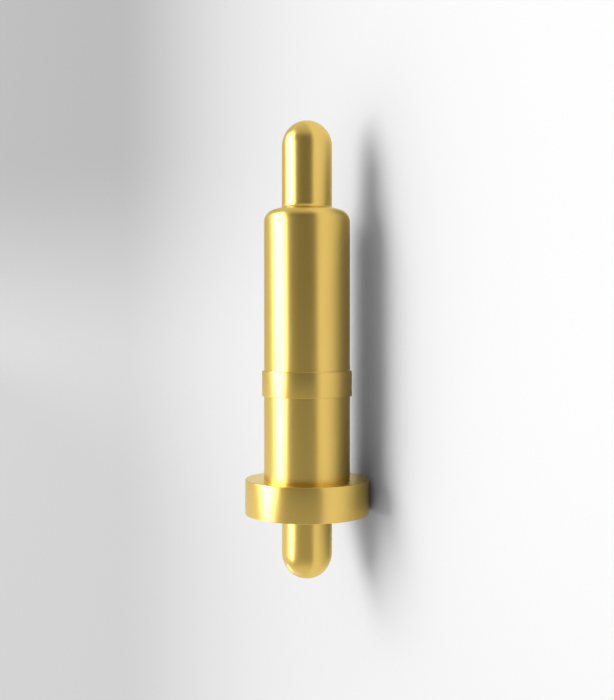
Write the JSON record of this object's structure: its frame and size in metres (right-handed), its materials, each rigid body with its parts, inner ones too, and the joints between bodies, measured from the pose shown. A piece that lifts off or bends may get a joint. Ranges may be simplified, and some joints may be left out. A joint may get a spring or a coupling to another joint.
{
  "type": "pogo pin",
  "caption": "Spring-loaded gold-plated contact pin: a round-tipped plunger slides in a barrel with a rolled mouth, a press band, a round flange and a solder tail.",
  "frame": {"origin": "on the pin's axis, in the plane of the flange's underside, where the pin sits on the board and the tail enters its hole", "axes": "+Z along the pin's axis, from the solder tail towards the plunger's tip; the plunger's slanted inner end is lowest at +X, and the outside is round about Z"},
  "size_m": [0.0026, 0.0026, 0.0097],
  "materials": {
    "gold_plated_barrel": "satin gold plating over turned brass",
    "gold_plated_plunger": "satin gold plating over turned brass, polished smoother at the tip",
    "spring_wire": "drawn stainless spring wire"
  },
  "bodies": {
    "barrel": {"barrel": "gold_plated_barrel", "spring": "spring_wire"},
    "plunger": {"plunger": "gold_plated_plunger"}
  },
  "joints": [
    {"name": "plunger_stroke", "type": "slide", "parent": "barrel", "child": "plunger", "axis": [0, 0, -1], "range_m": [0, 0.0014], "stiffness_N_per_m": 430, "springref_m": -0.0007, "deforming": ["spring"]}
  ]
}
